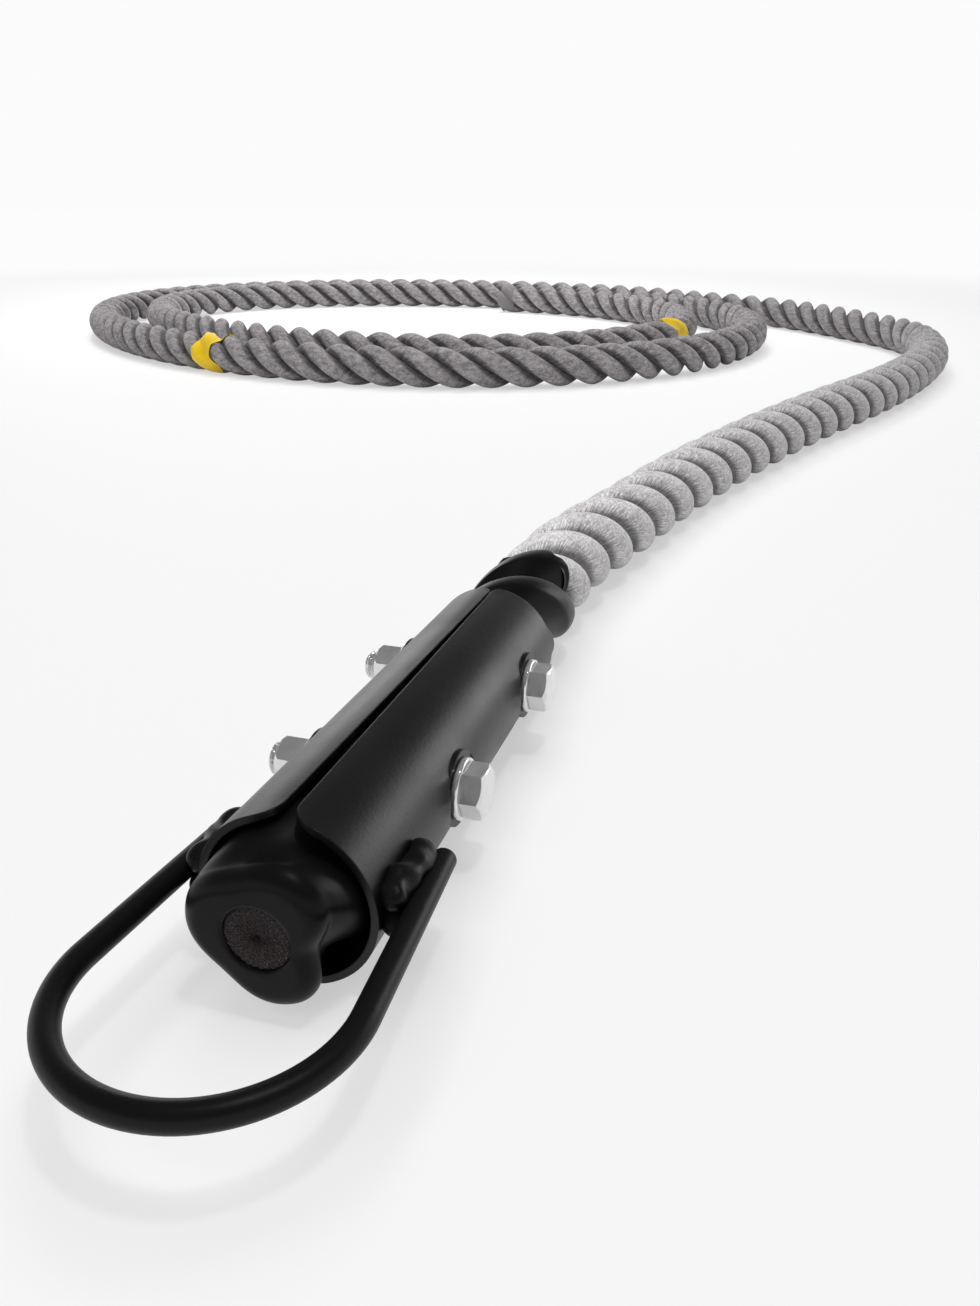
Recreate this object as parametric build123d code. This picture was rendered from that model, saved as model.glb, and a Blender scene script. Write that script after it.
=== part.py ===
"""Climbing rope with a bolted steel clamp, a welded hanging eye and a loose coil of rope.

Millimetres. X points to the bolt heads, Y runs along the clamp away from the eye, Z is up.
The origin is on the floor, under the middle of the clamp, its eye and the shrink boot.
Distances called "along" are measured from the mouth of the clamp, towards the rope.
"""
import os
from math import acos, atan2, cos, hypot, pi, radians, sin, tan

from build123d import *

# Rope and the shrink boot over its end
rope_diameter = 38.0
lay_length = 100.0           # length in which a strand goes once round the rope
strand_count = 3
boot_wall = 1.0
boot_relief = 1.7            # how far the strands' lobes swell about the boot's mean radius
boot_front = 15.0            # boot ahead of the clamp mouth
boot_rear = 65.0             # boot behind the clamp
boot_edge = 2.4              # rounding of the boot's flat end
boot_hole_diameter = 17.5    # the cut fibres show through it
lobe_angle = 67.0            # where one lobe stands at the boot's flat end, from +X
seam_angle = 45.0            # where each section's closed curve starts, clear of the bolts

# Clamp: two bent sheet half shells
sheet = 2.0
clamp_length = 163.0
mouth_spread = 1.35          # the shells' radius is larger by this at the eye end
shell_clearance = 0.15
seat_clearance = 0.2
slit_mouth = 4.0
slit_rear = 0.8
corner_mouth = 7.0
corner_rear = 4.0

# Fasteners: M10 bolts, nuts and washers of the small series
bolt_diameter = 10.0
bolt_length = 60.0
bolt_point = 1.0
bolt_spacing = 71.0
bolt_rear_margin = 30.0
hex_flats = 14.0
head_height = 6.4
nut_height = 8.4
hex_chamfer = 1.3
washer_diameter = 18.0
washer_thickness = 2.0
hole_clearance = 0.5
thread_clearance = 0.05
dimple_depth = 1.0           # the bolts draw the sheet in to a flat seat
dimple_margin = 2.0

# Hanging eye: a round bar bent to a U
bar_diameter = 6.5
eye_radius = 33.5            # centreline of the bow
eye_reach = 32.0             # centre of the bow, ahead of the clamp mouth
leg_overlap = 29.0           # legs beside the clamp
leg_gap = 2.9                # between leg and shell at the leg's tip
bar_end_round = 1.2

# Weld beads above and below each leg
bead_radius = 3.3
bead_length = 24.0
bead_start = 2.5
bead_ripples = 4
bead_rise = 0.4              # the bead's centreline above the top of the bar

# Marker tapes and the whipping at the rope's free end
tape_width = 25.0
tape_thickness = 0.8
tape_angles = {"marker_tape_outer": 249.5, "marker_tape_inner": 708.0}
whipping_length = 26.0
whipping_thickness = 1.2
slot_clearance = 0.3

# Coil: an inward spiral of loose turns, by angle in degrees
coil_start = 55.0
coil_end = 803.0
coil_round_share = 0.6       # edge rounding, as a share of the rope's radius
outline_step = 24.0          # between the corners of the coil's outline
outline_bulge = 4.0          # how far those corners stand out beyond the rope
outer_short = 45.0           # the outermost edge ends this far before the innermost turn's end

# Derived sizes
rope_radius = rope_diameter / 2
boot_radius = rope_radius + boot_wall
coil_edge_round = coil_round_share * rope_radius
shell_rear_radius = boot_radius + shell_clearance + sheet
shell_mouth_radius = shell_rear_radius + mouth_spread
axis_height = shell_mouth_radius
bar_radius = bar_diameter / 2
front_edge = -(eye_reach + eye_radius + bar_radius)
rear_edge = clamp_length + boot_rear
mouth_y = -(front_edge + rear_edge) / 2
bolt_places = (clamp_length - bolt_rear_margin - bolt_spacing, clamp_length - bolt_rear_margin)
seat_radius = washer_diameter / 2 + dimple_margin
hole_radius = (bolt_diameter + hole_clearance) / 2

# The free run's route, from the first bend after the boot to the last before the coil
route = [
    (11, 256, 20.2),
    (26, 352, 19.0),
    (58, 472, 19.0),
    (94, 585, 19.0),
    (138, 700, 19.0),
    (175, 826, 19.0),
    (198, 958, 19.0),
    (186, 1088, 19.0),
    (107, 1207, 19.0),
    (26, 1305, 19.0),
]
boot_lead = 40.0             # straight rope next to the boot
coil_lead = 60.0             # and next to the coil


def along(distance, x=0.0, z=0.0):
    """Point on the clamp's axis at a distance behind its mouth, moved by x and z."""
    return Vector(x, mouth_y + distance, axis_height + z)


def cross_plane(distance):
    """Plane across the clamp's axis, with local X to +X and its normal to +Y."""
    return Plane(origin=along(distance), x_dir=(1, 0, 0), z_dir=(0, 1, 0))


def shell_radius(distance):
    """Outer radius of the tapered half shells."""
    return shell_mouth_radius - mouth_spread * distance / clamp_length


def lobed_wire(distance, inset):
    """Section of the boot, with one lobe per strand, turned by the rope's lay."""
    turn = 360.0 * (distance + boot_front) / lay_length
    points = []
    steps = 6 * strand_count
    for i in range(steps):
        angle = seam_angle + 360.0 * i / steps
        swell = boot_relief * cos(radians(strand_count * (angle - lobe_angle + turn)))
        radius = boot_radius - boot_relief + swell - inset
        place = radians(angle)
        points.append(along(distance, radius * cos(place), radius * sin(place)))
    return Wire(Edge.make_spline(points, periodic=True))


def lobed_solid(first, last, inset, edge=0.0):
    """Twisted solid through the lobed sections between two distances."""
    pitch = lay_length / (4 * strand_count)
    count = round((last - first) / pitch)
    stations = [(first + (last - first) * i / count, inset) for i in range(count + 1)]
    if edge:
        stations[0] = (first, inset + edge)
        stations.insert(1, (first + 0.3 * edge, inset + 0.3 * edge))
        stations.insert(2, (first + edge, inset))
    return Solid.make_loft([lobed_wire(d, s) for d, s in stations])


def cylinder_x(x_from, x_to, radius, distance):
    """Cylinder along X through the clamp's axis, beside the place on the axis."""
    base = Plane(origin=along(distance, x_from), x_dir=(0, 1, 0), z_dir=(1, 0, 0))
    return extrude(base * Circle(radius), amount=x_to - x_from)


def seat_face(distance):
    """X of the flat that a washer seats on."""
    return shell_radius(distance) - dimple_depth


def half_shell(side):
    """Half of the tapered tube on one side of the slits, with its washer seats and holes."""
    stations = ((0.0, shell_mouth_radius), (clamp_length, shell_rear_radius))
    outer = Solid.make_loft([Wire.make_circle(r, cross_plane(d)) for d, r in stations])
    inner = Solid.make_loft([Wire.make_circle(r - sheet, cross_plane(d)) for d, r in stations])
    width = 2 * shell_mouth_radius
    rear_y = mouth_y + clamp_length
    corner_front = (side * slit_mouth / 2, mouth_y)
    corner_back = (side * slit_rear / 2, rear_y)
    outline = Polyline(corner_front, (side * width, mouth_y), (side * width, rear_y), corner_back, close=True)
    plan = make_face(outline)
    for corner, radius in ((corner_front, corner_mouth), (corner_back, corner_rear)):
        plan = fillet(plan.vertices().sort_by_distance(corner)[0], radius)
    keep = extrude(plan, amount=2 * width, dir=(0, 0, 1))
    shell = (outer - inner) & keep
    for place in bolt_places:
        flat = side * seat_face(place)
        shell += cylinder_x(flat - side * sheet, flat, seat_radius, place)
        shell -= cylinder_x(flat, side * width, seat_radius, place)
        shell -= cylinder_x(0, side * width, hole_radius, place)
    return largest(shell)


def eye_bar():
    """The U-shaped eye, whose legs run in line to the sides of the clamp."""
    tip_x = shell_radius(leg_overlap) + leg_gap + bar_radius
    tip_from_bow = eye_reach + leg_overlap
    lean = atan2(tip_from_bow, tip_x) - acos(eye_radius / hypot(tip_x, tip_from_bow))
    meet_x = eye_radius * cos(lean)
    meet = eye_radius * sin(lean) - eye_reach
    path = Wire(
        [
            Edge.make_line(along(leg_overlap, tip_x), along(meet, meet_x)),
            Edge.make_three_point_arc(
                along(meet, meet_x),
                along(-eye_reach - eye_radius),
                along(meet, -meet_x),
            ),
            Edge.make_line(along(meet, -meet_x), along(leg_overlap, -tip_x)),
        ]
    )
    section = Plane(origin=path @ 0, z_dir=path % 0) * Circle(bar_radius)
    bar = sweep(section, path=path)
    ends = bar.edges().filter_by(GeomType.CIRCLE).group_by(Axis.Y)[-1]
    return fillet(ends, bar_end_round)


def weld_bead(level, solids):
    """Rippled bead between the +X leg and its shell, turned about its length and cut to meet both."""
    height = level * (bar_radius + bead_rise)
    pitch = bead_length / bead_ripples
    start = along(bead_start, shell_radius(bead_start) + leg_gap / 2, height)
    finish_x = shell_radius(bead_start + bead_length) + leg_gap / 2
    finish = along(bead_start + bead_length, finish_x, height)
    points = [(0, 0)]
    for i in range(bead_ripples):
        points.append(((i + 0.25) * pitch, 0.92 * bead_radius))
        points.append(((i + 0.6) * pitch, bead_radius))
        points.append(((i + 1) * pitch, 0.84 * bead_radius))
    points[-1] = (bead_length - 0.15 * pitch, 0.7 * bead_radius)
    points.append((bead_length, 0))
    profile = Plane(origin=start, x_dir=finish - start, z_dir=(0, 0, 1))
    section = profile * make_face(Spline(*points) + Line(points[-1], points[0]))
    bead = revolve(section, axis=Axis(start, finish - start))
    for solid in solids:
        bead -= solid
    return largest(bead)


def hex_prism(x_from, x_to, distance):
    """Hexagon prism along X with a corner up and its outer end's corners turned off."""
    sense = 1 if x_to > x_from else -1
    height = abs(x_to - x_from)
    base = Plane(origin=along(distance, x_from), x_dir=(0, 0, 1), z_dir=(sense, 0, 0))
    prism = extrude(base * RegularPolygon(hex_flats / 2, 6, major_radius=False), amount=height)
    corner_radius = hex_flats / 2 / cos(pi / 6)
    turned = extrude(base * Circle(corner_radius), amount=height)
    rim = turned.edges().filter_by(GeomType.CIRCLE).sort_by(Axis((0, 0, 0), (sense, 0, 0)))[-1]
    depth = hex_chamfer * tan(radians(30))
    return prism & chamfer(rim, depth, hex_chamfer, reference=turned.faces().sort_by(
        Axis((0, 0, 0), (sense, 0, 0)))[-1])


def bolt(distance):
    """Hexagon bolt whose head stands on the +X washer."""
    under_head = seat_face(distance) + washer_thickness
    head = hex_prism(under_head, under_head + head_height, distance)
    shank = cylinder_x(under_head, under_head - bolt_length, bolt_diameter / 2, distance)
    tip = shank.edges().filter_by(GeomType.CIRCLE).sort_by(Axis.X)[0]
    return (head + chamfer(tip, bolt_point)).solid()


def washer(side, distance):
    """Plain washer on one side's seat."""
    inner = side * seat_face(distance)
    outer = inner + side * washer_thickness
    disc = cylinder_x(inner, outer, washer_diameter / 2, distance)
    return (disc - cylinder_x(inner, outer, hole_radius, distance)).solid()


def nut(distance):
    """Hexagon nut on the -X washer."""
    inner = -(seat_face(distance) + washer_thickness)
    body = hex_prism(inner, inner - nut_height, distance)
    bore = cylinder_x(inner, inner - nut_height, bolt_diameter / 2 + thread_clearance, distance)
    return (body - bore).solid()


def bolt_room():
    """Solids to cut from what is inside the clamp, for the bolts and the backs of their seats."""
    room = []
    for place in bolt_places:
        back = seat_face(place) - sheet - seat_clearance
        room.append(cylinder_x(-back, back, hole_radius, place))
        for side in (-1, 1):
            reach = side * 2 * boot_radius
            room.append(cylinder_x(side * back, reach, seat_radius + seat_clearance, place))
    return room


def largest(shape):
    """The biggest solid of a shape."""
    return shape.solids().sort_by(SortBy.VOLUME)[-1]


def coil_point(angle):
    """Centre of the rope in the coil: an ellipse-like turn that shrinks and shifts per turn."""
    turns = angle / 360.0
    c, s = cos(radians(angle)), sin(radians(angle))
    c2, s2 = cos(radians(2 * angle)), sin(radians(2 * angle))
    x = -388 - 15 * turns + (486 - 70 * turns) * c - 29 * s - 9 * c2 + 18 * s2
    y = 1059 + 27 * turns + (421 - 69 * turns) * s - 23 * c - 2 * c2 + 7 * s2
    return Vector(x, y, rope_radius)


def coil_tangent(angle):
    """Unit direction of the rope in the coil."""
    return (coil_point(angle + 0.5) - coil_point(angle - 0.5)).normalized()


def coil_edge(angle, reach):
    """Point beside the coil's centreline, outward where reach is positive, on the floor."""
    forward = coil_tangent(angle)
    point = coil_point(angle)
    return (point.X + forward.Y * reach, point.Y - forward.X * reach)


def wrap(angle, length, thickness, rise=0.0):
    """Ring round the rope in the coil, as a tape or whipping is."""
    place = coil_point(angle) + Vector(0, 0, thickness + rise)
    start = place - coil_tangent(angle) * (length / 2)
    base = Plane(origin=start, z_dir=coil_tangent(angle))
    radius = rope_radius + thickness
    ring = extrude(base * Circle(radius), amount=length)
    return (ring - extrude(base * Circle(rope_radius), amount=length)).solid()


def wrap_slot(angle, length, thickness):
    """Room for a wrap in the coil's solid."""
    place = coil_point(angle) + Vector(0, 0, thickness)
    start = place - coil_tangent(angle) * (length / 2 + slot_clearance)
    base = Plane(origin=start, z_dir=coil_tangent(angle))
    depth = length + 2 * slot_clearance
    ring = extrude(base * Circle(rope_radius + thickness + slot_clearance), amount=depth)
    return ring - extrude(base * Circle(rope_radius - slot_clearance), amount=depth)


def rounded_outline(points):
    """Straight runs through points on the floor, joined by tangent arcs."""
    return FilletPolyline(*points, radius=run_radii([(x, y, 0) for x, y in points]))


def coil_band(wraps):
    """Outer shape of all the turns: a closed band between the outermost and innermost turn."""
    outer_end = coil_end - 360 - outer_short
    outer_count = round((outer_end - coil_start) / outline_step)
    pitch = (outer_end - coil_start) / outer_count
    outer = [coil_edge(coil_start, rope_radius)]
    for i in range(1, outer_count):
        outer.append(coil_edge(coil_start + i * pitch, rope_radius + outline_bulge))
    outer.append(coil_edge(outer_end, rope_radius))
    joint = coil_edge(coil_start, -rope_radius)
    boundary = rounded_outline(outer) + Line(outer[-1], joint) + Line(joint, outer[0])
    inner_count = round(360 / outline_step)
    pitch = 360 / inner_count
    inner = [coil_edge(coil_end - i * pitch, -rope_radius) for i in range(inner_count)]
    opening = rounded_outline(inner) + Line(inner[-1], inner[0])
    band = extrude(make_face(boundary) - make_face(opening), amount=rope_diameter, dir=(0, 0, 1))
    level = band.edges().filter_by(lambda e: abs(e.bounding_box().size.Z) < 1e-6)
    band = fillet(level.filter_by(GeomType.CIRCLE), coil_edge_round)
    return largest(band.cut(*[wrap_slot(*wrap_sizes) for wrap_sizes in wraps]))


def run_radii(points):
    """Radius of each bend: 0.45 of the shorter run over the tangent of half the turn."""
    radii = []
    for before, here, after in zip(points, points[1:], points[2:]):
        first = Vector(here) - Vector(before)
        second = Vector(after) - Vector(here)
        turn = first.get_angle(second)
        shorter = min(first.length, second.length)
        radii.append(0.45 * shorter / tan(radians(turn / 2)))
    return radii


def rope_tube(points):
    """The free run: straight runs joined by tangent arcs, as a round tube."""
    radii = run_radii(points)
    print("rope bend radii:", [round(r) for r in radii])
    path = FilletPolyline(*points, radius=radii)
    section = Plane(origin=path @ 0, z_dir=path % 0) * Circle(rope_radius)
    tube = sweep(section, path=path)
    expected = pi * rope_radius**2 * path.length
    print("rope tube volume ratio:", round(tube.volume / expected, 5), "length:", path.length)
    return tube.solid()


def coil_length():
    """Length of the rope's centreline in the coil."""
    marks = [coil_point(coil_start + (coil_end - coil_start) * i / 800) for i in range(801)]
    return sum((b - a).length for a, b in zip(marks, marks[1:]))


parts = {}
for side, name in ((1, "right"), (-1, "left")):
    parts["clamp_half_" + name] = half_shell(side)
parts["hanging_eye"] = eye_bar()
for level, height in ((1, "upper"), (-1, "lower")):
    bead = weld_bead(level, (parts["hanging_eye"], parts["clamp_half_right"]))
    parts[f"weld_bead_{height}_right"] = bead
    parts[f"weld_bead_{height}_left"] = mirror(bead, about=Plane.YZ).solid()
for place, name in zip(bolt_places, ("near", "far")):
    parts["bolt_" + name] = bolt(place)
    parts["head_washer_" + name] = washer(1, place)
    parts["nut_washer_" + name] = washer(-1, place)
    parts["nut_" + name] = nut(place)

boot_outer = lobed_solid(-boot_front, rear_edge, 0.0, boot_edge)
core_room = lobed_solid(-boot_front + boot_wall, rear_edge, boot_wall)
hole_plane = cross_plane(-boot_front - 1)
boot_hole = extrude(hole_plane * Circle(boot_hole_diameter / 2), amount=boot_wall + 2)
parts["shrink_boot"] = largest(boot_outer.cut(*bolt_room()) - core_room - boot_hole)
parts["rope_end"] = largest(core_room.cut(*bolt_room()))

exit_point = along(rear_edge)
entry_point = coil_point(coil_start)
bends = [Vector(*point) for point in route]
bends.insert(0, exit_point + Vector(0, boot_lead, 0))
bends.append(entry_point - coil_tangent(coil_start) * coil_lead)
parts["rope_run"] = rope_tube([exit_point, *bends, entry_point])
whipping_angle = coil_end - 2.5
wraps = [(angle, tape_width, tape_thickness) for angle in tape_angles.values()]
wraps.append((whipping_angle, whipping_length, whipping_thickness))
parts["rope_coil"] = coil_band(wraps)
for name, angle in tape_angles.items():
    parts[name] = wrap(angle, tape_width, tape_thickness)
parts["end_whipping"] = wrap(whipping_angle, whipping_length, whipping_thickness)
print("rope in the coil:", coil_length())

os.makedirs("parts", exist_ok=True)
for name, solid in parts.items():
    solid.label = name
    export_step(solid, f"parts/{name}.step")
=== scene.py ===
"""Gym climbing rope: a clamp with a hanging eye, a shrink boot, and the rope lying in a loose coil.

Metres, in the frame of the clamp: X to the bolt heads, Y along the clamp away from the eye, Z up.
"""
from math import cos, pi, radians, sin, tau

import bpy
import numpy as np
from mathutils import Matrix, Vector


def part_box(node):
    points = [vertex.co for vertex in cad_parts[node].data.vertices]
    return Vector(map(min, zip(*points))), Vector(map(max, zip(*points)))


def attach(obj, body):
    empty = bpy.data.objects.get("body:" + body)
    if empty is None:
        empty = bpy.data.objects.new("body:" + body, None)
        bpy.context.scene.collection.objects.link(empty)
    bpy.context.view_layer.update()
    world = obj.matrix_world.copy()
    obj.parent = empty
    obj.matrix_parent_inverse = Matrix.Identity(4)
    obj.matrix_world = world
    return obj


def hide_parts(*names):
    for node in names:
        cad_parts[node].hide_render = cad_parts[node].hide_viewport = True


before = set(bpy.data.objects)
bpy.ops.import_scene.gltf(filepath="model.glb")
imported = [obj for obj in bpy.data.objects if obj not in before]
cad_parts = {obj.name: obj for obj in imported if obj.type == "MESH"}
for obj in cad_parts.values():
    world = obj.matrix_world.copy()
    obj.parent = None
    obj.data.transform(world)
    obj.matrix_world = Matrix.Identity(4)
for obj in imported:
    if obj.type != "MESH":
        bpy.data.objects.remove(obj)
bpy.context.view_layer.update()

MM = 0.001
ROUND_POINTS = 120              # points round a bolt, a washer or a wrap

# Camera: place in metres, tip and turn in degrees, lens and sensor height in millimetres
CAMERA_PLACE = (0.1094, -0.2657, 0.1788)
CAMERA_TIP = 66.55
CAMERA_TURN = 17.6
CAMERA_LENS = 19.87
CAMERA_SENSOR = 24.0

# Rope: three strands, oval in section because they run aslant
ROPE_RADIUS = 19 * MM
LAY_LENGTH = 100 * MM
STRANDS = 3
THIRD = tau / STRANDS
STRAND_POINTS = 30              # points round a strand
STRAND_DEPTH = 9.1 * MM
STRAND_HALF_WIDTH = 9.9 * MM
STRAND_RING = ROPE_RADIUS - STRAND_DEPTH
STRAND_WANDER = 0.22 * MM
LOBE_ANGLE = radians(67)        # where one strand stands at the boot's flat end
ROPE_INSIDE = 24 * MM           # rope under the boot's rear edge

# Clamp and boot
AXIS_HEIGHT = 23.5 * MM
MOUTH_Y = -79.625 * MM
BOOT_FRONT = MOUTH_Y - 15 * MM
BOOT_REAR = MOUTH_Y + 228 * MM
BOOT_RADIUS = 20 * MM
BOOT_ROLL = 5 * MM              # rounding of the shoulder
FIBRE_RADIUS = 8.9 * MM         # hole in the boot's flat end, and the fibres in it

FRONT_VALLEYS = [3.2 * MM, 3.0 * MM, 6.6 * MM]
FRONT_REACH = 22 * MM           # how far back the valleys differ in depth
FILM_THICKNESS = 0.9 * MM
REAR_SLANT = 4.5 * MM
SLANT_ANGLE = radians(20)
NICK_DEPTH = 1.6 * MM
NICK_ANGLE = radians(64)

# Bolts and washers: M10 of the small series
BOLTS = {"bolt_near": MOUTH_Y + 62 * MM, "bolt_far": MOUTH_Y + 133 * MM}
HEX_FLATS = 14 * MM
HEAD_HEIGHT = 6.4 * MM
CHAMFER_RADIUS = 6.4 * MM       # where the chamfer's cone meets the top face
CHAMFER_SLOPE = 0.66
SHANK_RADIUS = 4.9 * MM
THREAD_RADIUS = 4.95 * MM
THREAD_LENGTH = 22 * MM
THREAD_PITCH = 1.5 * MM
THREAD_DEPTH = 0.8 * MM
WASHER_HOLE = 5.25 * MM         # its radius
WASHER_ROUND = 0.7 * MM

# Control points of the free run between the boot and the coil
BOOT_LEAD = 40 * MM
FREE_RUN = [
    (0.011, 0.256, 0.0202),
    (0.026, 0.352, 0.019),
    (0.058, 0.472, 0.019),
    (0.094, 0.585, 0.019),
    (0.138, 0.700, 0.019),
    (0.175, 0.826, 0.019),
    (0.198, 0.958, 0.019),
    (0.186, 1.088, 0.019),
    (0.107, 1.207, 0.019),
    (0.026, 1.305, 0.019),
]

# Coil, by angle in degrees
COIL_LEAD = 60 * MM
COIL_START = 55.0
COIL_END = 803.0
COIL_STEPS = 37

# Tapes (angle in the coil, lift of the far edge) and the whipping at the free end
TAPES = {"marker_tape_outer": (249.5, 2.4 * MM), "marker_tape_inner": (708.0, 0.4 * MM)}
TAPE_WIDTH = 30 * MM
TAPE_THICKNESS = 0.3 * MM
TAPE_FILL = 0.85                # how far a wrap bridges the grooves
WHIPPING_WIDTH = 24 * MM
WHIPPING_THICKNESS = 0.5 * MM
WHIPPING_FILL = 0.3
WHIPPING_FROM_END = 15 * MM     # its middle
WRAP_GAP = 0.15 * MM            # between a wrap and the rope

# White set
FLOOR_HALF = 12.0
WALL_RADIUS = 9.0
ROPE_MIDDLE = (-0.3, 0.75, 0.0)  # the floor's glow grows with the distance from here
FLOOR_GLOW = 0.975
WHITE_GLOW = 0.97
DIM_WORLD = 0.07
FADE_HEIGHTS = (1.5, 4.0)       # where the glow seen in reflections fades
COIL_FILL_SPREAD = radians(64)  # keeps this lamp off the clamp


# ---------------------------------------------------------------- camera

def make_camera():
    """Camera low in front of the clamp, turned to the left and tipped down."""
    data = bpy.data.cameras.new("camera")
    data.sensor_fit = "VERTICAL"
    data.sensor_height = CAMERA_SENSOR
    data.lens = CAMERA_LENS
    data.clip_start = 0.02
    camera = bpy.data.objects.new("camera", data)
    camera.location = CAMERA_PLACE
    camera.rotation_euler = (radians(CAMERA_TIP), 0.0, radians(CAMERA_TURN))
    bpy.context.collection.objects.link(camera)
    bpy.context.scene.camera = camera


# ---------------------------------------------------------------- rope line

def coil_point(angle, swell=1.0):
    """Centre of the rope in the coil: an ellipse-like turn that shrinks and shifts per turn."""
    turns = angle / 360
    a = radians(angle)
    x = (486 - 70 * turns) * cos(a) - 29 * sin(a) - 9 * cos(2 * a) + 18 * sin(2 * a)
    y = (421 - 69 * turns) * sin(a) - 23 * cos(a) - 2 * cos(2 * a) + 7 * sin(2 * a)
    middle = np.array([-388 - 15 * turns, 1059 + 27 * turns, 19.0])
    return (middle + swell * np.array([x, y, 0.0])) * MM


def coil_direction(angle):
    """Unit direction of the rope in the coil."""
    step = coil_point(angle + 0.5) - coil_point(angle - 0.5)
    return step / np.linalg.norm(step)


def route_points():
    """Control points: out of the boot, the free run, then the coil's turns."""
    exit_point = np.array([0.0, BOOT_REAR, AXIS_HEIGHT])
    points = [exit_point, exit_point + [0, BOOT_LEAD, 0]]
    points += [np.array(p) for p in FREE_RUN]
    points.append(coil_point(COIL_START) - coil_direction(COIL_START) * COIL_LEAD)
    step = (COIL_END - COIL_START) / COIL_STEPS
    swell = 1 / cos(radians(step / 2))
    for i in range(COIL_STEPS):
        points.append(coil_point(COIL_START + (i + 0.5) * step, swell))
    points.append(coil_point(COIL_END))
    return points


def smooth_line(points):
    """Points along a quadratic NURBS curve that has the route's points as its control points."""
    data = bpy.data.curves.new("route", "CURVE")
    data.dimensions = "3D"
    spline = data.splines.new("NURBS")
    spline.points.add(len(points) - 1)
    spline.points.foreach_set("co", np.c_[np.array(points), np.ones(len(points))].ravel())
    spline.order_u = 3
    spline.use_endpoint_u = True
    spline.resolution_u = 24
    holder = bpy.data.objects.new("route", data)
    bpy.context.collection.objects.link(holder)
    bpy.context.view_layer.update()
    mesh = bpy.data.meshes.new_from_object(holder.evaluated_get(bpy.context.evaluated_depsgraph_get()))
    line = np.empty(len(mesh.vertices) * 3)
    mesh.vertices.foreach_get("co", line)
    bpy.data.objects.remove(holder)
    bpy.data.meshes.remove(mesh)
    return line.reshape(-1, 3)


def distances(line):
    """Distance along a line to each of its points."""
    return np.r_[0, np.cumsum(np.linalg.norm(np.diff(line, axis=0), axis=1))]


def resample(line, marks):
    """Points of the line at the given distances along it."""
    along = distances(line)
    return np.stack([np.interp(marks, along, line[:, k]) for k in range(3)], axis=1)


def side_and_up(line):
    """Two unit vectors across the line at each point: one level with the floor, one near upright."""
    forward = np.gradient(line, axis=0)
    forward /= np.linalg.norm(forward, axis=1)[:, None]
    side = np.cross(forward, [0, 0, 1])
    side /= np.linalg.norm(side, axis=1)[:, None]
    return side, np.cross(side, forward)


# ---------------------------------------------------------------- mesh helpers

def full_turn(count):
    """Angles of a full turn, as one row."""
    return (np.arange(count) * tau / count)[None, :]


def turned_along_y(radius, y, theta):
    """Points round the clamp's axis, with the angle from +X towards up."""
    return np.stack([radius * np.cos(theta), y, AXIS_HEIGHT + radius * np.sin(theta)], axis=-1)


def turned_along_x(radius, x, theta, y):
    """Points round a bolt's axis at y, with the angle from up towards +Y."""
    return np.stack([x, y + radius * np.sin(theta), AXIS_HEIGHT + radius * np.cos(theta)], axis=-1)


def mesh_from_grid(name, grid, close_v=False, cap_start=False, cap_end=False):
    """Object from a grid of points [v, u]: quads between neighbours, closed round u."""
    rows, columns = grid.shape[:2]
    index = np.arange(rows * columns).reshape(rows, columns)
    index = np.c_[index, index[:, :1]]
    if close_v:
        index = np.r_[index, index[:1]]
    quads = np.stack([index[:-1, :-1], index[:-1, 1:], index[1:, 1:], index[1:, :-1]], axis=-1)
    faces = quads.reshape(-1, 4).tolist()
    if cap_start:
        faces.append(list(range(columns))[::-1])
    if cap_end:
        faces.append(list(range((rows - 1) * columns, rows * columns)))
    mesh = bpy.data.meshes.new(name)
    mesh.from_pydata(grid.reshape(-1, 3).tolist(), [], faces)
    mesh.shade_smooth()
    item = bpy.data.objects.new(name, mesh)
    bpy.context.collection.objects.link(item)
    return item


def point_attribute(item, name, values):
    """Vector attribute on the points of a mesh."""
    attribute = item.data.attributes.new(name, "FLOAT_VECTOR", "POINT")
    attribute.data.foreach_set("vector", np.ascontiguousarray(values, dtype=np.float32).ravel())


def finish_piece(item, material, slot, *nodes):
    """Gives a piece its material and its body, and hides the nodes that it stands for; slot is not
    used.
    """
    item.data.materials.append(material)
    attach(item, "root")
    if nodes:
        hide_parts(*nodes)
    return item


# ---------------------------------------------------------------- materials

def new_material(name):
    """Empty node material with a principled shader, and a helper that adds nodes."""
    material = bpy.data.materials.new(name)
    material.use_nodes = True
    nodes = material.node_tree.nodes
    shader = nodes["Principled BSDF"]

    def add(kind, **settings):
        node = nodes.new(kind)
        for key, value in settings.items():
            if hasattr(node, key):
                setattr(node, key, value)
            else:
                node.inputs[key].default_value = value
        return node

    return material, shader, add, material.node_tree.links.new


def scaled(add, link, source, x, y, z):
    """Vector multiplied by three factors."""
    node = add("ShaderNodeVectorMath", operation="MULTIPLY")
    node.inputs[1].default_value = (x, y, z)
    link(source, node.inputs[0])
    return node.outputs[0]


def noise(add, link, source, scale, detail=3.0, rough=0.55):
    """Noise read at a vector."""
    node = add("ShaderNodeTexNoise", Scale=scale, Detail=detail, Roughness=rough)
    link(source, node.inputs["Vector"])
    return node.outputs["Fac"]


def mixed(add, link, blend, share, first, second):
    """Two colours mixed; share is a number or an output."""
    node = add("ShaderNodeMix", data_type="RGBA", blend_type=blend)
    if isinstance(share, float):
        node.inputs["Factor"].default_value = share
    else:
        link(share, node.inputs["Factor"])
    link(first, node.inputs["A"])
    link(second, node.inputs["B"])
    return node.outputs["Result"]


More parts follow.
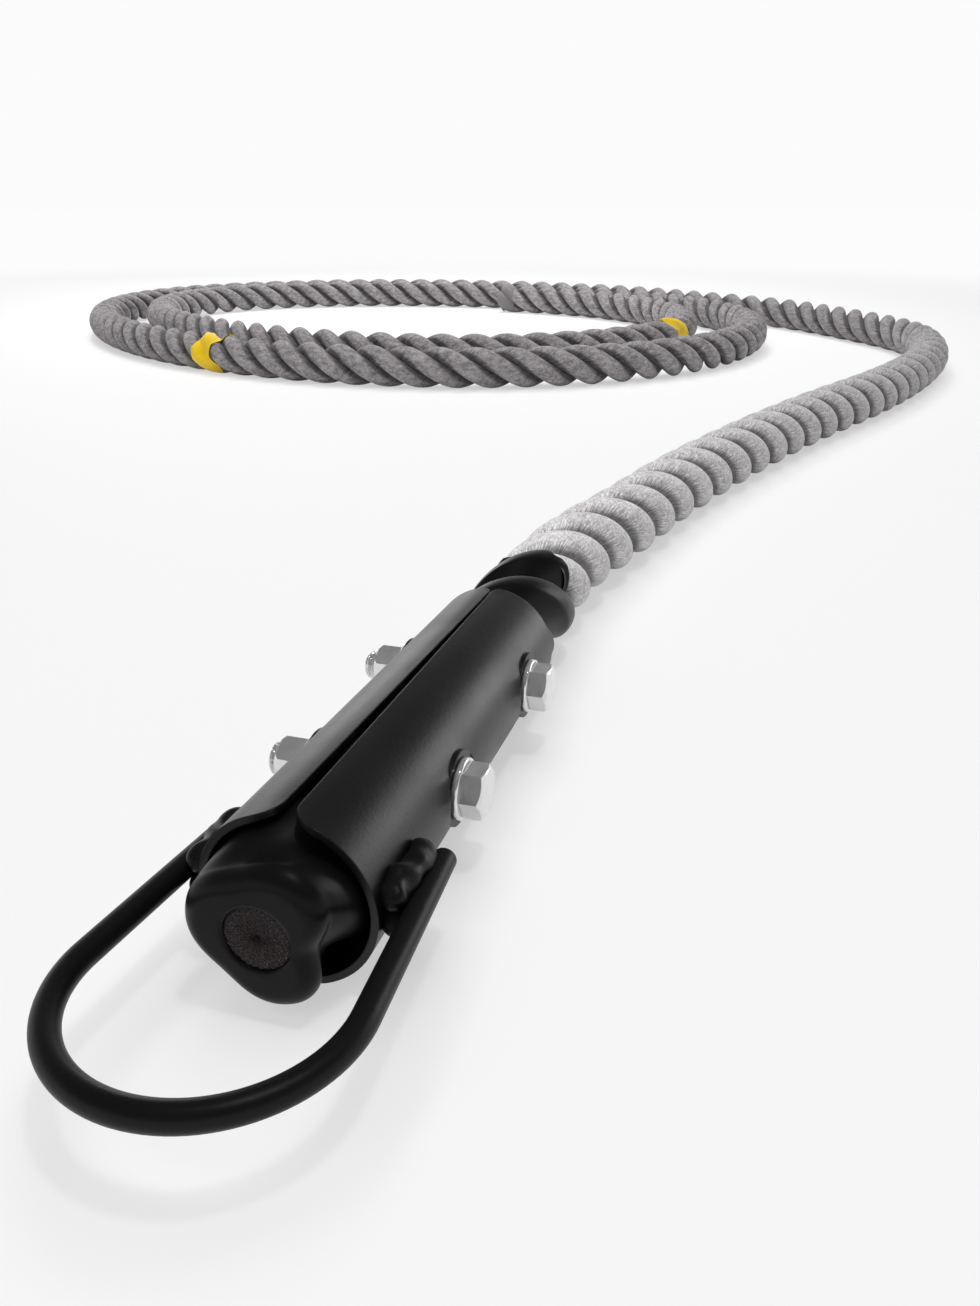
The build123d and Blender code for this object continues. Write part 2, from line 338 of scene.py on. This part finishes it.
def shaped(add, link, source, stops):
    """Colour ramp read at an output; a stop is a place and a grey or RGB value."""
    node = add("ShaderNodeValToRGB")
    while len(node.color_ramp.elements) < len(stops):
        node.color_ramp.elements.new(0.5)
    for element, (place, value) in zip(node.color_ramp.elements, stops):
        element.position = place
        colour = (value,) * 3 if isinstance(value, float) else value
        element.color = (*colour, 1.0)
    link(source, node.inputs["Fac"])
    return node.outputs["Color"]


def ranged(add, link, source, start, end, to_start=0.0, to_end=1.0, kind="LINEAR"):
    """Output mapped from one range to another."""
    node = add("ShaderNodeMapRange", interpolation_type=kind)
    node.inputs["From Min"].default_value = start
    node.inputs["From Max"].default_value = end
    node.inputs["To Min"].default_value = to_start
    node.inputs["To Max"].default_value = to_end
    link(source, node.inputs["Value"])
    return node.outputs["Result"]


def computed(add, link, operation, first, second):
    """Arithmetic on an output and either another output or a number."""
    node = add("ShaderNodeMath", operation=operation)
    link(first, node.inputs[0])
    if isinstance(second, float):
        node.inputs[1].default_value = second
    else:
        link(second, node.inputs[1])
    return node.outputs[0]


def bumped(add, link, shader, height, strength, depth):
    """Bump from a height to the shader's normal."""
    node = add("ShaderNodeBump", Strength=strength, Distance=depth)
    link(height, node.inputs["Height"])
    link(node.outputs["Normal"], shader.inputs["Normal"])
    return node


def rope_material():
    """Spun grey fibre: pale near the clamp, and darker in the coil by painted shade that stands in for
    the dimmer light there.

    Short yarns lie along the rope and show as fine hatching on the side of each strand that faces the
    clamp;
    the crowns are speckled and blotched, painted shade darkens the grooves and a faint painted
    highlight the crowns.
    """
    material, shader, add, link = new_material("rope_fibre")
    yarn = add("ShaderNodeAttribute", attribute_name="yarn").outputs["Vector"]
    zones = add("ShaderNodeAttribute", attribute_name="zones").outputs["Vector"]
    split = add("ShaderNodeSeparateXYZ")
    link(zones, split.inputs[0])
    crown, flank, distance = split.outputs
    # painted shade: the colour darkens along the rope from the clamp to the coil, standing in for the
    # dimmer light on the coil
    tone_with_painted_shade = shaped(add, link, ranged(add, link, distance, 0.0, 1.7), [
        (0.0, (0.80, 0.78, 0.786)),
        (0.25, (0.59, 0.57, 0.577)),
        (0.62, (0.315, 0.297, 0.304)),
        (1.0, (0.325, 0.306, 0.314)),
    ])
    hatch = noise(add, link, scaled(add, link, yarn, 1000, 1000, 60), 2.1, 2.0, 0.5)
    speck = noise(add, link, scaled(add, link, yarn, 1000, 1000, 900), 0.78, 4.0, 0.7)
    blotch = noise(add, link, scaled(add, link, yarn, 1000, 1000, 700), 0.24, 4.0, 0.65)
    lines = shaped(add, link, hatch, [(0.38, 0.66), (0.60, 1.42)])
    dots = shaped(add, link, speck, [(0.34, 0.62), (0.66, 1.26)])
    patches = shaped(add, link, blotch, [(0.34, 0.60), (0.66, 1.36)])
    facing = ranged(add, link, flank, -0.55, -0.95, 0.06, 1.0, "SMOOTHSTEP")
    # random blotches in the fibre, stronger from 0.3 m to 1.6 m along the rope, where their raised
    # contrast also stands in for painted light and shade on the coil
    blotch_and_shade_share = ranged(add, link, distance, 0.3, 1.6, 0.3)
    colour = mixed(add, link, "MULTIPLY", 1.0, tone_with_painted_shade, dots)
    colour = mixed(add, link, "MULTIPLY", blotch_and_shade_share, colour, patches)
    colour = mixed(add, link, "MULTIPLY", facing, colour, lines)
    # painted shade: each strand darkens towards its roots in the grooves, and a faint painted
    # highlight lifts its crown
    painted_groove_shade = shaped(add, link, crown, [(0.0, 0.34), (0.35, 0.92), (1.0, 1.08)])
    colour = mixed(add, link, "MULTIPLY", 1.0, colour, painted_groove_shade)
    link(colour, shader.inputs["Base Color"])
    bumped(add, link, shader, computed(add, link, "ADD", hatch, speck), 0.6, 0.0005)
    shader.inputs["Roughness"].default_value = 0.8
    shader.inputs["Specular IOR Level"].default_value = 0.2
    shader.inputs["Sheen Weight"].default_value = 0.15
    shader.inputs["Sheen Roughness"].default_value = 0.5
    return material


def cut_fibre_material():
    """Cut ends of brown-black fibre that fan out from the middle."""
    material, shader, add, link = new_material("cut_fibre_ends")
    fan = add("ShaderNodeAttribute", attribute_name="fan").outputs["Vector"]
    streak = noise(add, link, scaled(add, link, fan, 1, 1, 5), 5.0, 4.0, 0.7)
    colour = shaped(add, link, streak, [
        (0.38, (0.010, 0.008, 0.008)),
        (0.55, (0.045, 0.036, 0.037)),
        (0.70, (0.20, 0.17, 0.175)),
    ])
    link(colour, shader.inputs["Base Color"])
    bumped(add, link, shader, streak, 0.8, 0.0006)
    shader.inputs["Roughness"].default_value = 0.8
    shader.inputs["Specular IOR Level"].default_value = 0.3
    return material


def boot_material():
    """Black heat-shrunk plastic: satin and softly uneven."""
    material, shader, add, link = new_material("shrunk_plastic")
    place = add("ShaderNodeTexCoord").outputs["Object"]
    uneven = noise(add, link, place, 70.0, 3.0, 0.5)
    bumped(add, link, shader, uneven, 0.18, 0.0015)
    link(shaped(add, link, uneven, [(0.3, 0.30), (0.7, 0.40)]), shader.inputs["Roughness"])
    shader.inputs["Base Color"].default_value = (0.005, 0.005, 0.0052, 1.0)
    shader.inputs["Specular IOR Level"].default_value = 0.12
    return material


def powder_coat_material(name, gloss):
    """Black powder coat: satin, with a fine orange-peel texture and softened edges."""
    material, shader, add, link = new_material(name)
    place = add("ShaderNodeTexCoord").outputs["Object"]
    peel = noise(add, link, place, 900.0, 2.0)
    cloud = noise(add, link, place, 30.0, 3.0)
    soft = add("ShaderNodeBevel", Radius=0.0006)
    bump = bumped(add, link, shader, peel, 0.10, 0.0004)
    link(soft.outputs["Normal"], bump.inputs["Normal"])
    link(shaped(add, link, cloud, [(0.3, 0.33), (0.7, 0.41)]), shader.inputs["Roughness"])
    shader.inputs["Base Color"].default_value = (0.005, 0.005, 0.0053, 1.0)
    shader.inputs["Specular IOR Level"].default_value = gloss
    return material


def zinc_material():
    """Bright zinc plate: clear grey metal with faint smudges."""
    material, shader, add, link = new_material("bright_zinc")
    place = add("ShaderNodeTexCoord").outputs["Object"]
    smudge = noise(add, link, place, 260.0, 4.0)
    link(shaped(add, link, smudge, [(0.3, 0.11), (0.75, 0.22)]), shader.inputs["Roughness"])
    link(shaped(add, link, smudge, [(0.3, 0.72), (0.7, 0.84)]), shader.inputs["Base Color"])
    soft = add("ShaderNodeBevel", Radius=0.0003)
    link(soft.outputs["Normal"], shader.inputs["Normal"])
    shader.inputs["Metallic"].default_value = 0.78
    return material


def tape_material():
    """Yellow cloth tape: smooth face with a fine weave and shallow creases."""
    material, shader, add, link = new_material("yellow_cloth_tape")
    place = add("ShaderNodeTexCoord").outputs["Object"]
    cloth = noise(add, link, place, 1500.0, 2.0)
    crease = noise(add, link, place, 120.0, 3.0)
    colour = shaped(add, link, cloth, [(0.3, (0.86, 0.56, 0.006)), (0.7, (0.95, 0.66, 0.010))])
    link(colour, shader.inputs["Base Color"])
    height = computed(add, link, "ADD", computed(add, link, "MULTIPLY", crease, 4.0), cloth)
    bumped(add, link, shader, height, 0.35, 0.0004)
    shader.inputs["Roughness"].default_value = 0.45
    return material


def whipping_material():
    """Grey waxed twine wound round the rope, in the rope's own colour."""
    material, shader, add, link = new_material("waxed_twine")
    turn = add("ShaderNodeAttribute", attribute_name="yarn").outputs["Vector"]
    wave = add(
        "ShaderNodeTexWave", wave_type="BANDS", bands_direction="Z", Scale=320.0, Distortion=0.6
    )
    link(turn, wave.inputs["Vector"])
    colour = shaped(
        add, link, wave.outputs["Fac"], [(0.1, (0.17, 0.16, 0.164)), (0.7, (0.32, 0.302, 0.309))]
    )
    link(colour, shader.inputs["Base Color"])
    bumped(add, link, shader, wave.outputs["Fac"], 0.6, 0.0005)
    shader.inputs["Roughness"].default_value = 0.65
    return material


# ---------------------------------------------------------------- rope

def strand_turn(marks):
    """Angle of the first strand at distances behind the boot, winding on from the boot's lobes."""
    return LOBE_ANGLE - tau * (BOOT_REAR - BOOT_FRONT + marks) / LAY_LENGTH


def ring_marks(length):
    """Distances of the rings: close together near the boot, wider apart further off."""
    near = np.arange(-ROPE_INSIDE, 0.8, 0.0018)
    middle = np.arange(0.8, 2.6, 0.0030)
    far = np.arange(2.6, length - 0.001, 0.0040)
    return np.r_[near, middle, far, length]


def make_strand(line, number, material):
    """One strand: an oval carried round the rope's line at the strand's ring.

    With the oval's own angle v, a point is line + (ring + depth cos v) radial + half width sin v
    tangential. v = even - 0.5 sin(even), so that the points stand closer on the outside. The depth
    wanders by a slow sine, and the last rings draw in to a round end.
    """
    length = distances(line)[-1]
    marks = ring_marks(length)
    path = resample(line, np.maximum(marks, 0))
    path[:, 1] += np.minimum(marks, 0)
    side, up = side_and_up(path)
    angle = (strand_turn(marks) + number * THIRD)[:, None, None]
    radial = np.cos(angle) * side[:, None, :] + np.sin(angle) * up[:, None, :]
    tangential = np.cos(angle) * up[:, None, :] - np.sin(angle) * side[:, None, :]
    even = -full_turn(STRAND_POINTS)
    v = (even - 0.5 * np.sin(even))[..., None]
    ends = np.sqrt(np.clip((length - marks) / (4 * MM), 0, 1))[:, None, None]
    wander = STRAND_WANDER * np.sin(23 * marks + 2.1 * number)[:, None, None]
    depth = (STRAND_DEPTH * (0.25 + 0.75 * ends) + wander) * np.cos(v) - wander
    width = STRAND_HALF_WIDTH * (0.25 + 0.75 * ends) * np.sin(v)
    grid = path[:, None, :] + (STRAND_RING + depth) * radial + width * tangential
    strand = mesh_from_grid(f"rope_strand_{number + 1}", grid, cap_start=True, cap_end=True)
    around = np.arctan2(width, STRAND_RING + depth) + angle
    along = np.broadcast_to(marks[:, None, None], around.shape)
    v = np.broadcast_to(v, around.shape)
    yarn = [ROPE_RADIUS * np.cos(around), ROPE_RADIUS * np.sin(around), along]
    point_attribute(strand, "yarn", np.concatenate(yarn, axis=2))
    point_attribute(strand, "zones", np.concatenate([np.cos(v), np.sin(v), along], axis=2))
    return finish_piece(strand, material, "rope")


def rope_outline(relative, fill):
    """Distance from the rope's axis to its surface at an angle from the first strand.

    The far root of the nearest strand's oval, then raised towards a tape's straight bridge from
    crown to crown by fill.
    """
    nearest = (relative + THIRD / 2) % THIRD - THIRD / 2
    c, s = np.cos(nearest), np.sin(nearest)
    a = (c / STRAND_DEPTH) ** 2 + (s / STRAND_HALF_WIDTH) ** 2
    b = -2 * STRAND_RING * c / STRAND_DEPTH**2
    k = (STRAND_RING / STRAND_DEPTH) ** 2 - 1
    reach = (-b + np.sqrt(np.maximum(b * b - 4 * a * k, 0))) / (2 * a)
    bridge = (STRAND_RING / 2 + STRAND_HALF_WIDTH * 0.97) / np.cos(THIRD / 2 - np.abs(nearest))
    bridge = np.minimum(bridge, ROPE_RADIUS)
    return reach + fill * np.maximum(bridge - reach, 0)


def nearest_mark(line, point):
    """Distance along the line to its point nearest the given one."""
    return distances(line)[np.argmin(np.linalg.norm(line - point, axis=1))]


def make_wrap(name, line, middle, size, material, slot, fill, lift=0.0):
    """Band round the rope, dipping between the strands: outer and inner face in one closed loop.

    Its size is the width and the thickness. The far edge stands off as a tape's loose edge
    does: by lift times exp(-(distance to the edge / 3 mm) squared), and by a sine round the rope.
    """
    width, thickness = size
    rows = 26
    edge = np.linspace(-width / 2, width / 2, rows)
    theta = -full_turn(ROUND_POINTS)
    marks = middle + edge
    path = resample(line, marks)
    side, up = side_and_up(path)
    across = np.cos(theta)[..., None] * side[:, None, :] + np.sin(theta)[..., None] * up[:, None, :]
    curl = lift * np.exp(-(((width / 2 - edge) / (3 * MM)) ** 2))[:, None]
    curl = curl * (0.5 + 0.5 * np.sin(3 * theta + 1.0))
    surface = rope_outline(theta - strand_turn(marks)[:, None], fill) + curl
    loops = []
    for off in (WRAP_GAP + thickness, WRAP_GAP):
        point = path[:, None, :] + (surface + off)[..., None] * across
        point[..., 2] = np.maximum(point[..., 2], 0.0002)
        loops.append(point)
    grid = np.concatenate([loops[0], loops[1][::-1]], axis=0)
    item = mesh_from_grid(name + "_band", grid, close_v=True)
    local = np.zeros(grid.shape)
    local[..., 0] = ROPE_RADIUS * np.cos(theta)
    local[..., 1] = ROPE_RADIUS * np.sin(theta)
    local[..., 2] = np.r_[edge, edge[::-1]][:, None]
    point_attribute(item, "yarn", local)
    return finish_piece(item, material, slot, name)


# ---------------------------------------------------------------- boot and cut end

def film_radius(theta, y):
    """Radius of the shrunk film: a lobe over each strand and a valley between.

    A raised cosine of three periods, sharpened by a power. At the flat end each valley has a
    depth of its own, further back all have one depth, and behind the clamp the film lies close
    over the strands.
    """
    relative = theta + tau * (y - BOOT_FRONT) / LAY_LENGTH - LOBE_ANGLE
    which = np.floor(relative / THIRD) % STRANDS
    front_depth = np.choose(which.astype(int), FRONT_VALLEYS)
    share = np.exp(-((y - BOOT_FRONT) / FRONT_REACH) ** 2)
    behind = np.clip((y - MOUTH_Y - 150 * MM) / (20 * MM), 0, 1)
    depth = front_depth * share + (1 - share) * (4.4 + 1.5 * behind) * MM
    valley = (0.5 - 0.5 * np.cos(STRANDS * relative)) ** 1.35
    inside = BOOT_RADIUS - depth * valley
    tight = rope_outline(relative, 0.5) + FILM_THICKNESS
    return inside + (tight - inside) * behind


def make_boot(material):
    """Shrunk plastic boot: flat end with a hole, a rolled shoulder, then the lobed wall.

    The profile goes from the hole out over the face and back along the rope. Each ring's radius
    is the film's radius times a quarter-ellipse share on the shoulder. The rear edge runs aslant,
    shorter by 1 + cos(angle - 20 degrees), and has one small nick.
    """
    theta = full_turn(150)
    turn = np.linspace(0, pi / 2, 15)[1:]
    wall_y = np.arange(BOOT_FRONT + BOOT_ROLL + 1 * MM, BOOT_REAR, 1.1 * MM)
    rings = []
    for radius, inward in ((8.2 * MM, 2.2 * MM), (8.5 * MM, 0.5 * MM), (FIBRE_RADIUS, 0.1 * MM)):
        rings.append((radius + 0 * theta, BOOT_FRONT + inward + 0 * theta))
    edge = film_radius(theta, BOOT_FRONT + BOOT_ROLL)
    for share in np.linspace(0, 1, 9)[1:]:
        radius = FIBRE_RADIUS + share * (edge - BOOT_ROLL - FIBRE_RADIUS)
        rings.append((radius, BOOT_FRONT + 0 * theta))
    for a in turn:
        y = BOOT_FRONT + BOOT_ROLL * (1 - np.cos(a))
        rings.append((edge - BOOT_ROLL * (1 - np.sin(a)), y + 0 * theta))
    slant = -REAR_SLANT * (1 + np.cos(theta - SLANT_ANGLE))
    slant = slant - NICK_DEPTH * np.exp(-(((theta - NICK_ANGLE) / 0.10) ** 2))
    for y in wall_y:
        placed = y + slant * np.clip((y - BOOT_REAR + 0.04) / 0.04, 0, 1) ** 2
        rings.append((film_radius(theta, placed), placed))
    rear = BOOT_REAR + slant
    last = rope_outline(theta + tau * (rear - BOOT_FRONT) / LAY_LENGTH - LOBE_ANGLE, 0.1)
    for thick, y in ((0.75, 0.2), (0.45, 0.5), (0.1, 0.5), (-0.3, 0.2), (-0.4, -4.0)):
        rings.append((last + thick * MM, rear + y * MM))
    radius = np.concatenate([r for r, y in rings])
    y = np.concatenate([y for r, y in rings])
    boot = mesh_from_grid("shrunk_boot", turned_along_y(radius, y, theta)[:, ::-1])
    return finish_piece(boot, material, "boot", "shrink_boot")


def make_cut_fibres(material):
    """Cut end of the rope in the boot's hole: a disc that is rough along its radii.

    Height is a sum of sine ridges that fan out from the middle, with a small hollow in the middle.
    """
    theta = full_turn(180)
    share = np.linspace(1, 0.03, 26)[:, None]
    radius = FIBRE_RADIUS * share + 0 * theta
    ridges = np.sin(31 * theta + 9 * share) + 0.7 * np.sin(53 * theta - 14 * share)
    ridges = ridges + np.sin(38 * share + 5 * np.sin(4 * theta))
    hollow = 1.4 * np.exp(-((share / 0.10) ** 2)) + 0.5 * np.exp(-(((share - 1) / 0.08) ** 2))
    y = BOOT_FRONT + (0.7 + 0.10 * ridges + hollow) * MM
    disc = mesh_from_grid("cut_fibres", turned_along_y(radius, y, theta), cap_end=True)
    fan = np.broadcast_arrays(3 * np.cos(theta), 3 * np.sin(theta), share)
    point_attribute(disc, "fan", np.stack(fan, axis=-1))
    return finish_piece(disc, material, "rope", "rope_end")


# ---------------------------------------------------------------- bolts and welds

def make_bolt(name, y, material):
    """Hexagon bolt along X: head from its top face, chamfer, flats and underside, then the shank.

    A ring's radius is the smaller of the hexagon, flats / (2 cos of the angle to the nearest
    flat), and the chamfer's cone. The last stretch has a thread: a triangle wave that climbs by
    one pitch a turn.
    """
    low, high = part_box(name)
    top, tip = high[0], low[0]
    theta = full_turn(ROUND_POINTS)
    off_flat = (theta + pi / 6) % (pi / 3) - pi / 6
    hexagon = HEX_FLATS / 2 / np.cos(off_flat)
    rings = [(0.2 * MM + 0 * theta, top)]
    rings.append((5.8 * MM + 0 * theta, top))
    rings.append((6.35 * MM + 0 * theta, top - 0.05 * MM))
    for below in np.linspace(0.2, 1.6, 12) * MM:
        rings.append((np.minimum(hexagon, CHAMFER_RADIUS + below / CHAMFER_SLOPE), top - below))
    under = top - HEAD_HEIGHT
    rings.append((hexagon, under + 0.15 * MM))
    rings.append((hexagon - 0.2 * MM, under))
    rings.append((SHANK_RADIUS + 0 * theta, under))
    thread_from = tip + THREAD_LENGTH
    rings.append((SHANK_RADIUS + 0 * theta, thread_from + 1 * MM))
    for x in np.arange(thread_from, tip + 0.8 * MM, -0.15 * MM):
        saw = np.abs(((x / THREAD_PITCH + theta / tau) % 1) * 2 - 1)
        rings.append((THREAD_RADIUS - THREAD_DEPTH * np.clip(1.15 * saw - 0.1, 0, 1), x))
    rings.append((4.2 * MM + 0 * theta, tip + 0.5 * MM))
    rings.append((3.6 * MM + 0 * theta, tip))
    rings.append((0.2 * MM + 0 * theta, tip))
    radius = np.concatenate([r for r, x in rings])
    x = np.array([x for r, x in rings])[:, None] + 0 * theta
    grid = turned_along_x(radius, x, theta, y)
    bolt = mesh_from_grid(name.replace("bolt", "hexagon_bolt"), grid, cap_start=True, cap_end=True)
    bolt.data.set_sharp_from_angle(angle=radians(28))
    return finish_piece(bolt, material, "zinc", name)


def make_washer(name, y, material):
    """Plain washer round the bolt: a ring whose rim is rounded by quarter circles on both faces."""
    low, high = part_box(name)
    theta = full_turn(ROUND_POINTS)
    half = (high[0] - low[0]) / 2
    middle = (high[0] + low[0]) / 2
    outer = (high[2] - low[2]) / 2
    rim = outer - WASHER_ROUND
    profile = [(WASHER_HOLE, -half), (rim, -half)]
    for a in np.linspace(-pi / 2, 0, 7)[1:]:
        profile.append((rim + WASHER_ROUND * np.cos(a), -half + WASHER_ROUND * (1 + np.sin(a))))
    for a in np.linspace(0, pi / 2, 7):
        profile.append((rim + WASHER_ROUND * np.cos(a), half - WASHER_ROUND * (1 - np.sin(a))))
    profile.append((WASHER_HOLE, half))
    profile = np.array(profile)
    radius = profile[:, :1] + 0 * theta
    x = middle + profile[:, 1:] + 0 * theta
    grid = turned_along_x(radius, x, theta, y)
    washer = mesh_from_grid("plain_" + name, grid[:, ::-1], close_v=True)
    washer.data.set_sharp_from_angle(angle=radians(40))
    return finish_piece(washer, material, "zinc", name)


def make_bead(name, lumps, material):
    """Weld bead along Y beside an eye leg: a tube whose radius is a sum of round lumps.

    Each lump adds height exp(-((t - place) / width) squared); the ends draw in to nothing.
    """
    low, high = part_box(name)
    middle = (np.array(low) + np.array(high)) / 2
    t = np.linspace(-1, 1, 60)[:, None]
    theta = full_turn(40)
    size = 2.9 + sum(a * np.exp(-(((t - p) / w) ** 2)) for p, w, a in lumps)
    wobble = 1 + 0.06 * np.sin(2 * theta + 5 * t) + 0.05 * np.sin(3 * theta - 7 * t)
    radius = size * MM * wobble * np.sqrt(np.clip(1 - np.abs(t) ** 6, 0, 1))
    drift = 0.5 * MM * np.sin(4 * t)
    outward = np.sign(middle[0])
    half = (high[1] - low[1]) / 2 + 1.2 * MM
    grid = np.stack(
        [
            middle[0] + outward * (drift + radius * np.cos(theta)),
            middle[1] + half * t + 0 * theta,
            middle[2] + radius * np.sin(theta) * 1.05,
        ],
        axis=-1,
    )
    if outward > 0:
        grid = grid[:, ::-1]
    bead = mesh_from_grid(name + "_lumps", grid, cap_start=True, cap_end=True)
    return finish_piece(bead, material, "powder_coat", name)


# ---------------------------------------------------------------- set

def seen_directly(add, link):
    """One for rays that the camera sees, straight on or by way of metal and glass."""
    path = add("ShaderNodeLightPath").outputs
    first = computed(add, link, "MAXIMUM", path["Is Camera Ray"], path["Is Glossy Ray"])
    return computed(add, link, "MAXIMUM", first, path["Is Transmission Ray"])


def studio_material(name, plain, share_near, near, far, low, high):
    """White surface with an even glow, for seen rays only, that takes over from near to far.

    Reflections see the glow fade from high to low with height; the camera sees it at high all over.
    """
    material, shader, add, link = new_material(name)
    shader.inputs["Base Color"].default_value = (plain, plain, plain, 1.0)
    shader.inputs["Roughness"].default_value = 0.7
    shader.inputs["Specular IOR Level"].default_value = 0.1
    place = add("ShaderNodeTexCoord").outputs["Object"]
    split = add("ShaderNodeSeparateXYZ")
    link(place, split.inputs[0])
    ground = scaled(add, link, place, 1, 1, 0)
    moved = add("ShaderNodeVectorMath", operation="DISTANCE")
    moved.inputs[1].default_value = ROPE_MIDDLE
    link(ground, moved.inputs[0])
    away = ranged(add, link, moved.outputs["Value"], near, far, share_near, 1.0, "SMOOTHSTEP")
    fade = ranged(add, link, split.outputs["Z"], *FADE_HEIGHTS, high, low, "SMOOTHSTEP")
    light = add("ShaderNodeEmission")
    light.inputs["Color"].default_value = (1, 1, 1, 1)
    camera_ray = add("ShaderNodeLightPath").outputs["Is Camera Ray"]
    straight = computed(add, link, "MULTIPLY", camera_ray, high)
    link(computed(add, link, "MAXIMUM", fade, straight), light.inputs["Strength"])
    blend = add("ShaderNodeMixShader")
    share = computed(add, link, "MULTIPLY", away, seen_directly(add, link))
    link(share, blend.inputs["Fac"])
    link(shader.outputs[0], blend.inputs[1])
    link(light.outputs[0], blend.inputs[2])
    link(blend.outputs[0], material.node_tree.nodes["Material Output"].inputs["Surface"])
    return material


def make_floor():
    """White floor that keeps the object's shadow, and a round white wall far behind it."""
    corners = [(FLOOR_HALF * x, FLOOR_HALF * y, 0.0) for x, y in ((-1, -1), (1, -1), (1, 1), (-1, 1))]
    mesh = bpy.data.meshes.new("floor")
    mesh.from_pydata(corners, [], [(0, 1, 2, 3)])
    floor = bpy.data.objects.new("floor", mesh)
    bpy.context.collection.objects.link(floor)
    floor.data.materials.append(studio_material("white_floor", 0.9, 0.55, 0.8, 1.9, 1.0, FLOOR_GLOW))
    angle = full_turn(96)
    level = np.array([-0.01, 1.5, 2.5, 4.0])[:, None]
    grid = np.broadcast_arrays(WALL_RADIUS * np.cos(angle), WALL_RADIUS * np.sin(angle), level)
    wall = mesh_from_grid("round_wall", np.stack(grid, axis=-1)[:, ::-1])
    wall.data.materials.append(studio_material("white_wall", 0.8, 1.0, 2.0, 4.0, 0.12, WHITE_GLOW))


def make_lights():
    """Broad lamps overhead, a small one near the clamp, a low box each side and a dim world.

    Each lamp lights surfaces ("diffuse"), shows in reflections ("glossy") or does both. The camera
    sees the world white.
    """
    world = bpy.data.worlds.new("studio")
    world.use_nodes = True
    back = world.node_tree.nodes["Background"]
    back.inputs["Color"].default_value = (1, 1, 1, 1)
    path = world.node_tree.nodes.new("ShaderNodeLightPath")
    strength = world.node_tree.nodes.new("ShaderNodeMapRange")
    strength.inputs["To Min"].default_value = DIM_WORLD
    strength.inputs["To Max"].default_value = WHITE_GLOW
    world.node_tree.links.new(path.outputs["Is Camera Ray"], strength.inputs["Value"])
    world.node_tree.links.new(strength.outputs["Result"], back.inputs["Strength"])
    bpy.context.scene.world = world
    middle = (-0.15, 0.75, 0.0)
    for name, place, aim, size, power, shows in (
        ("overhead_fill", (-0.15, 0.75, 2.6), middle, 2.4, 39.0, "diffuse"),
        ("overhead", (-0.15, 0.75, 2.6), middle, 2.4, 21.0, "both"),
        ("front_fill", (-0.3, -1.2, 1.4), (0.0, 0.4, 0.0), 1.2, 10.0, "diffuse"),
        ("coil_fill", (-0.8, 1.9, 2.0), (-0.55, 1.5, 0.0), 1.0, 6.0, "diffuse"),
        ("key", (0.3, -0.1, 1.5), (0.0, 0.0, 0.0), 0.14, 4.0, "both"),
        ("right_box", (1.15, 1.65, 0.40), (0.0, 0.0, 0.0), 0.8, 6.0, "glossy"),
        ("left_box", (-1.2, 1.75, 0.30), (0.0, 0.0, 0.0), 0.8, 3.0, "glossy"),
    ):
        data = bpy.data.lights.new(name, "AREA")
        data.size = size
        data.energy = power
        if name == "coil_fill":
            data.spread = COIL_FILL_SPREAD
        lamp = bpy.data.objects.new(name, data)
        lamp.location = place
        lamp.rotation_euler = (Vector(aim) - Vector(place)).to_track_quat("-Z", "Y").to_euler()
        lamp.visible_camera = False
        lamp.visible_glossy = shows != "diffuse"
        lamp.visible_diffuse = shows != "glossy"
        bpy.context.collection.objects.link(lamp)


def dress(nodes, material):
    """Gives model nodes one material."""
    for name in nodes:
        item = bpy.data.objects[name]
        item.data.materials.clear()
        item.data.materials.append(material)


bpy.context.scene.view_settings.view_transform = "Standard"
make_camera()
line = smooth_line(route_points())
rope_length = float(distances(line)[-1])
rope_fibre = rope_material()
strands = [make_strand(line, number, rope_fibre) for number in range(STRANDS)]
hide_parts("rope_run", "rope_coil")
yellow = tape_material()
for name, (angle, lift) in TAPES.items():
    middle = nearest_mark(line, coil_point(angle))
    size = (TAPE_WIDTH, TAPE_THICKNESS)
    make_wrap(name, line, middle, size, yellow, "yellow_tape", TAPE_FILL, lift)
middle = rope_length - WHIPPING_FROM_END
size = (WHIPPING_WIDTH, WHIPPING_THICKNESS)
twine = whipping_material()
make_wrap("end_whipping", line, middle, size, twine, "whipping", WHIPPING_FILL)

black = powder_coat_material("black_powder_coat", 0.34)
dull = powder_coat_material("black_bar_coat", 0.17)
zinc = zinc_material()
dress(["clamp_half_left", "clamp_half_right"], black)
dress(["hanging_eye"], dull)
dress(["nut_near", "nut_far"], zinc)
make_boot(boot_material())
make_cut_fibres(cut_fibre_material())
for name, y in BOLTS.items():
    make_bolt(name, y, zinc)
    make_washer(name.replace("bolt", "head_washer"), y, zinc)
    make_washer(name.replace("bolt", "nut_washer"), y, zinc)
right = [(-0.75, 0.22, 1.0), (-0.25, 0.26, 1.5), (0.3, 0.24, 0.9), (0.75, 0.2, 1.0)]
left = [(-0.7, 0.25, 1.2), (-0.1, 0.3, 1.0), (0.55, 0.25, 1.4)]
for name, lumps in (
    ("weld_bead_upper_right", right),
    ("weld_bead_lower_right", left),
    ("weld_bead_upper_left", left),
    ("weld_bead_lower_left", right),
):
    make_bead(name, lumps, dull)

make_floor()
make_lights()
